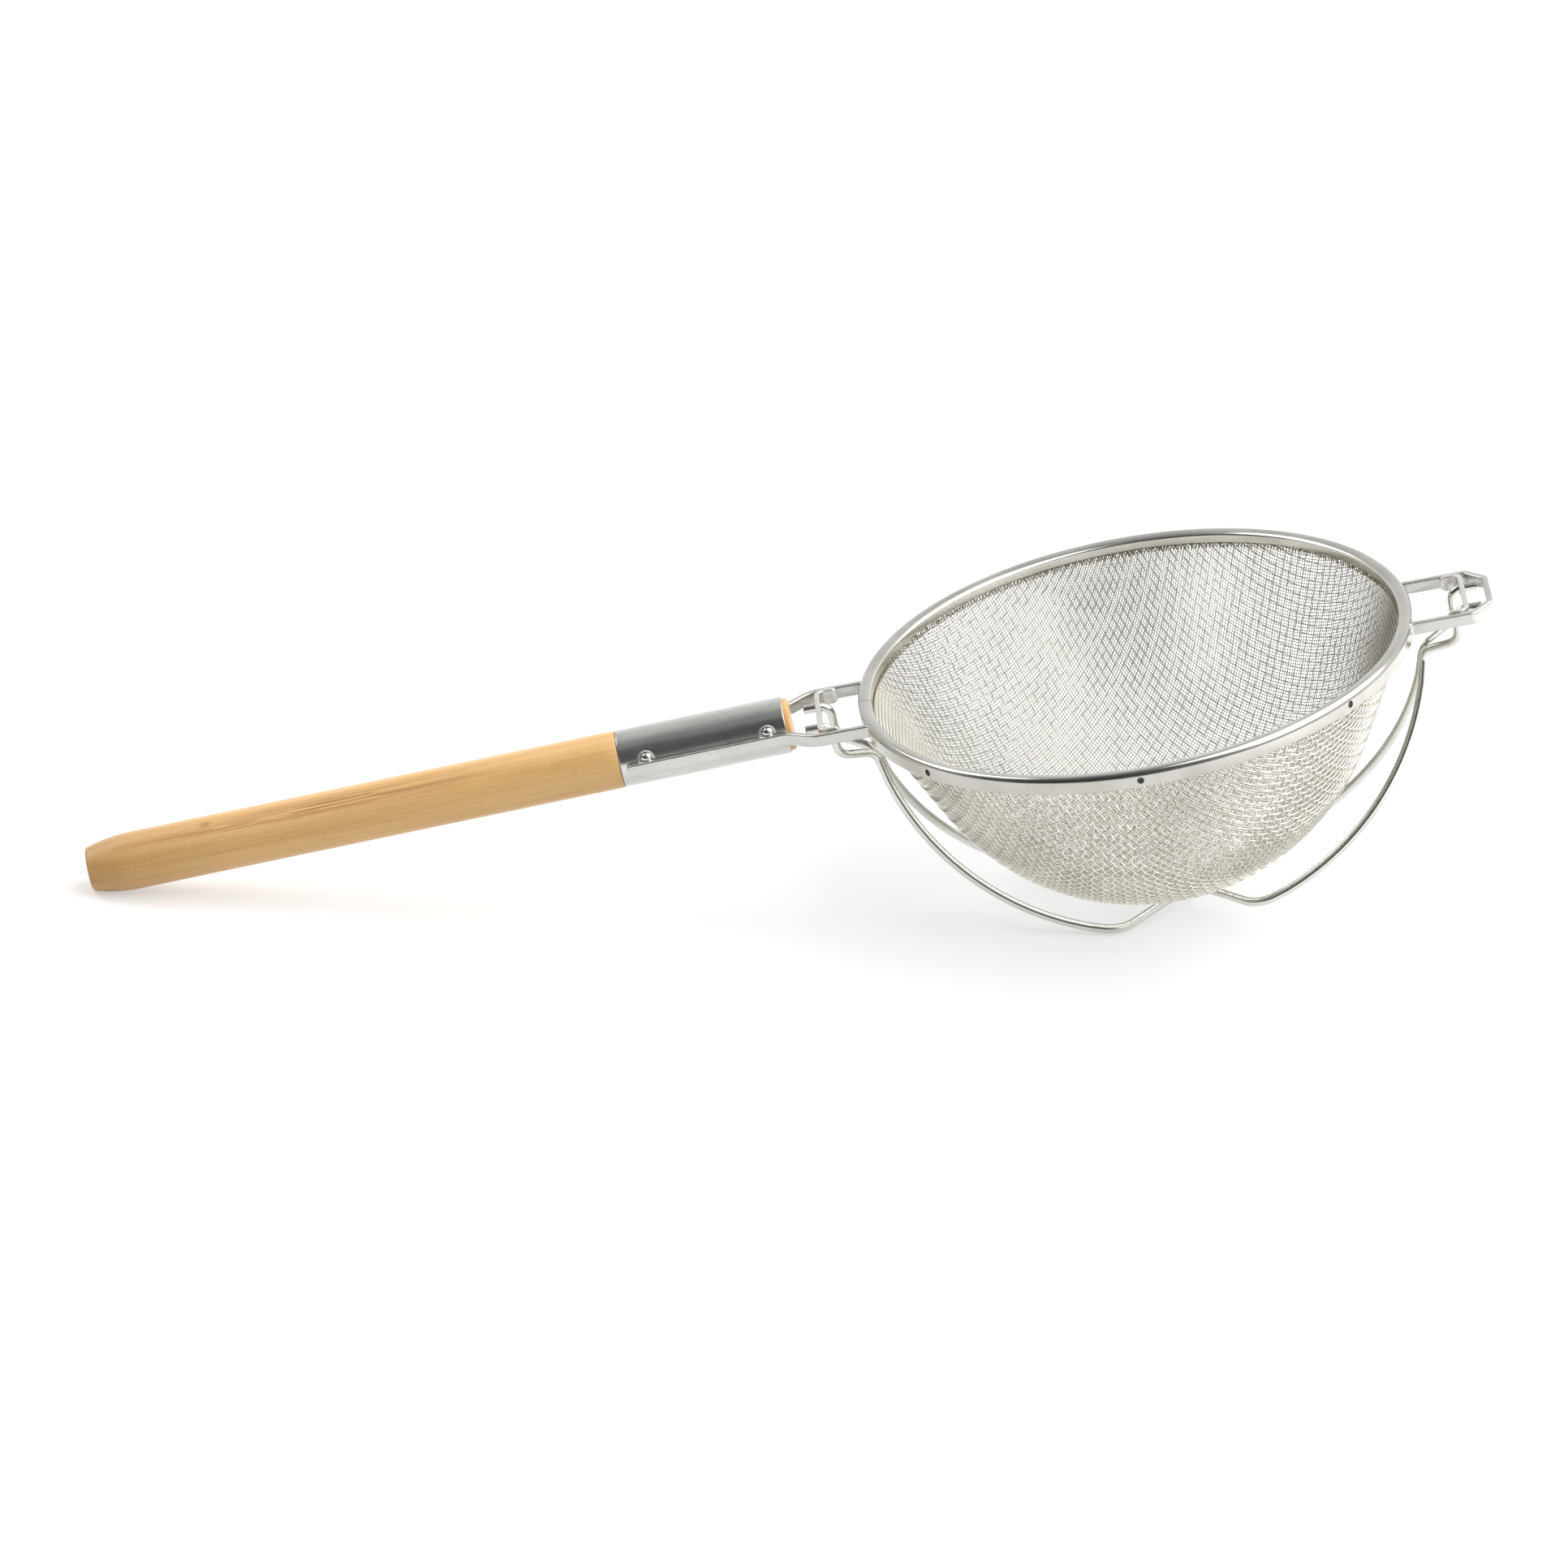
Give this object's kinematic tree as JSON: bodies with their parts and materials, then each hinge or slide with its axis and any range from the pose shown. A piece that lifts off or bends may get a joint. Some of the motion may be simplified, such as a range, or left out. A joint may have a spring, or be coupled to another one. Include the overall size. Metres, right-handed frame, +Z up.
{
  "type": "mesh strainer",
  "caption": "Round double-mesh bowl strainer with a rolled steel rim, a strap frame ending in a hook, a crossed wire cradle under the bowl and a turned wooden handle.",
  "frame": {"origin": "on the table under the middle of the part's bounding box", "axes": "+X from the handle's tip towards the hook, +Y across to the far side, +Z up from the table. The strainer lies as in use on a table, on the handle's tip and the two cradle feet nearest the handle, so the rim is pitched by 12.65 degrees with the hook end up"},
  "size_m": [0.6468, 0.26, 0.166],
  "materials": {
    "handle_wood": "smooth turned beech, lightly oiled",
    "ferrule_steel": "bright drawn tube",
    "nail_steel": "bright round head",
    "rim_steel": "polished rolled sheet",
    "band_steel": "satin strip",
    "clip_steel": "satin sheet",
    "cradle_steel": "bright drawn wire",
    "outer_mesh_wire": "tinned coarse woven wire",
    "inner_mesh_wire": "tinned fine woven wire"
  },
  "bodies": {
    "root": {"handle": "handle_wood", "ferrule": "ferrule_steel", "nail_near_back": "nail_steel", "nail_near_front": "nail_steel", "nail_far_back": "nail_steel", "nail_far_front": "nail_steel", "rim_hoop": "rim_steel", "frame_band": "band_steel", "outer_mesh": "outer_mesh_wire", "inner_mesh": "inner_mesh_wire", "handle_clip": "clip_steel", "hook_clip": "clip_steel", "cradle_wire_lower": "cradle_steel", "cradle_wire_upper": "cradle_steel"}
  },
  "joints": []
}
